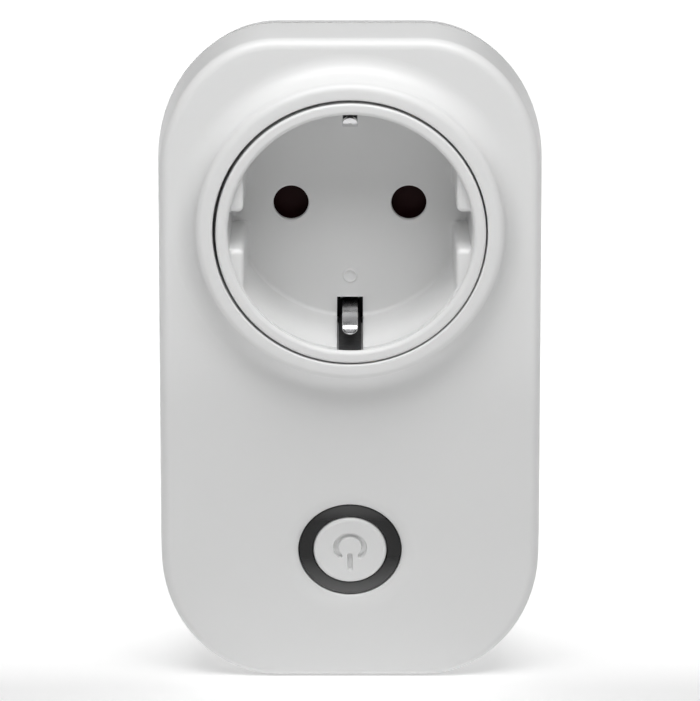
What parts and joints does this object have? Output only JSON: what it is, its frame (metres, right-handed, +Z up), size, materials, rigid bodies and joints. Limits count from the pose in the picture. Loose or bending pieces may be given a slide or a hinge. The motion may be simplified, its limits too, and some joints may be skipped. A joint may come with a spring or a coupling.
{
  "type": "smart plug",
  "caption": "Plug-in mains socket with a round recessed outlet on a raised collar, an illuminated push button below it and a pinned plug boss behind.",
  "frame": {"origin": "centre of the plug's mating face, on the common axis of plug and socket", "axes": "+Y out of the mating face along the plug pins, so the socket faces -Y; +Z up from the button to the socket"},
  "size_m": [0.0624, 0.0725, 0.1114],
  "materials": {
    "white_plastic": "white moulded plastic, fine satin texture",
    "black_plastic": "black moulded plastic",
    "shutter_plastic": "dark red moulded plastic",
    "smoked_light_pipe": "smoked translucent plastic",
    "sprung_steel": "spring wire",
    "bright_metal": "bright nickel-plated strip",
    "nickel_plate": "nickel-plated brass",
    "brass": "bare brass strip",
    "zinc_screw": "zinc-plated",
    "led_resin": "clear yellowish resin",
    "circuit_board": "green solder mask",
    "tin_plate": "tinned sheet",
    "relay_case": "blue relay case",
    "ferrite": "sintered ferrite",
    "winding_tape": "yellow polyester tape",
    "capacitor_sleeve": "shrunk sleeve",
    "yellow_case": "film capacitor case",
    "blue_epoxy": "dipped epoxy",
    "fuse_glass": "fuse tube with caps",
    "brown_wire": "wire insulation",
    "blue_wire": "wire insulation",
    "earth_wire_jacket": "wire insulation"
  },
  "bodies": {
    "case": {"front_shell": "white_plastic", "rear_shell": "white_plastic", "socket_insert": "white_plastic", "contact_carrier": "black_plastic", "pin_bridge": "black_plastic", "tact_switch": "black_plastic", "regulator_ic": "black_plastic", "shutter_spring": "sprung_steel", "earth_contact": "bright_metal", "live_contact": "brass", "neutral_contact": "brass", "plug_pin_live": "nickel_plate", "plug_pin_neutral": "nickel_plate", "plug_earth_clip": "nickel_plate", "light_ring": "smoked_light_pipe", "led_1": "led_resin", "led_2": "led_resin", "main_board": "circuit_board", "wifi_board": "circuit_board", "wifi_shield": "tin_plate", "relay": "relay_case", "transformer_core": "ferrite", "transformer_winding": "winding_tape", "capacitor_1": "capacitor_sleeve", "capacitor_2": "capacitor_sleeve", "x_capacitor": "yellow_case", "varistor": "blue_epoxy", "fuse": "fuse_glass", "live_wire_in": "brown_wire", "live_wire_out": "brown_wire", "neutral_wire_in": "blue_wire", "neutral_wire_out": "blue_wire", "earth_wire": "earth_wire_jacket", "board_screw_1": "zinc_screw", "carrier_screw_1": "zinc_screw", "board_screw_2": "zinc_screw", "carrier_screw_2": "zinc_screw", "housing_screw_1": "zinc_screw", "housing_screw_2": "zinc_screw", "housing_screw_3": "zinc_screw", "housing_screw_4": "zinc_screw"},
    "push_button": {"button": "white_plastic"},
    "switch_stem": {"switch_plunger": "black_plastic"},
    "shutter_plate": {"shutter": "shutter_plastic"}
  },
  "joints": [
    {"name": "button_press", "type": "slide", "parent": "case", "child": "push_button", "axis": [0, 0.9871, 0.1599], "range_m": [0, 0.0005], "stiffness_N_per_m": 3000},
    {"name": "plunger_press", "type": "slide", "parent": "case", "child": "switch_stem", "axis": [0, 0.9871, 0.1599], "range_m": [0, 0.0003]},
    {"name": "shutter_turn", "type": "hinge", "parent": "case", "child": "shutter_plate", "pos_m": [0, -0.0327, 0], "axis": [0, 1, 0], "range_deg": [0, 42], "stiffness_Nm_per_rad": 0.004}
  ],
  "couplings": [
    {"joint": "plunger_press", "follows": "button_press", "ratio": 0.6}
  ]
}
